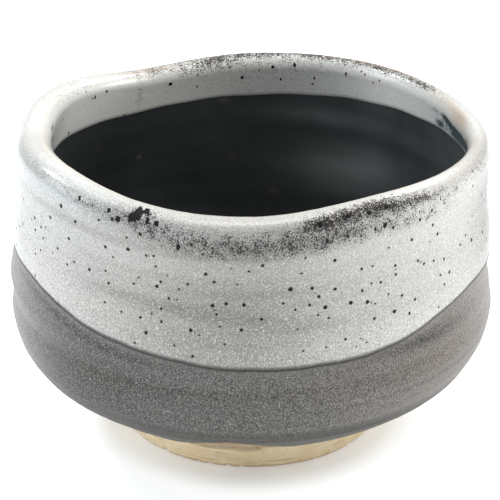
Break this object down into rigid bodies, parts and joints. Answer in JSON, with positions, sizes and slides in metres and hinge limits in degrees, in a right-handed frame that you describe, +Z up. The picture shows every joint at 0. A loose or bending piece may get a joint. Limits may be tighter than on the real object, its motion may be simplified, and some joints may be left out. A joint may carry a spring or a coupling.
{
  "type": "matcha bowl",
  "caption": "Hand-pressed stoneware tea bowl on a turned foot, open at the top, with a speckled white rim glaze, a grey lower glaze and a dark inside, for whisking matcha.",
  "frame": {"origin": "on the surface that the foot stands on, under the middle of the bowl", "axes": "+Z up out of the mouth, -Y towards the side shown to a guest, +X to that guest's right"},
  "size_m": [0.1196, 0.1195, 0.079],
  "materials": {
    "stoneware_clay": "unglazed tan stoneware, matt, brown where the glaze ends",
    "bare_foot_clay": "unglazed straw-coloured stoneware, matt, turned, with a slightly rough trimmed edge",
    "black_glaze": "near-black satin glaze with faint throwing rings and a few pits",
    "grey_glaze": "mid-grey satin glaze with a fine mottled grain",
    "white_glaze": "off-white semi-gloss glaze with iron specks and dark breakouts below the lip"
  },
  "bodies": {
    "root": {"clay_body": "stoneware_clay", "foot_ring": "bare_foot_clay", "inner_black_glaze": "black_glaze", "outer_grey_glaze": "grey_glaze", "rim_white_glaze": "white_glaze"}
  },
  "joints": []
}
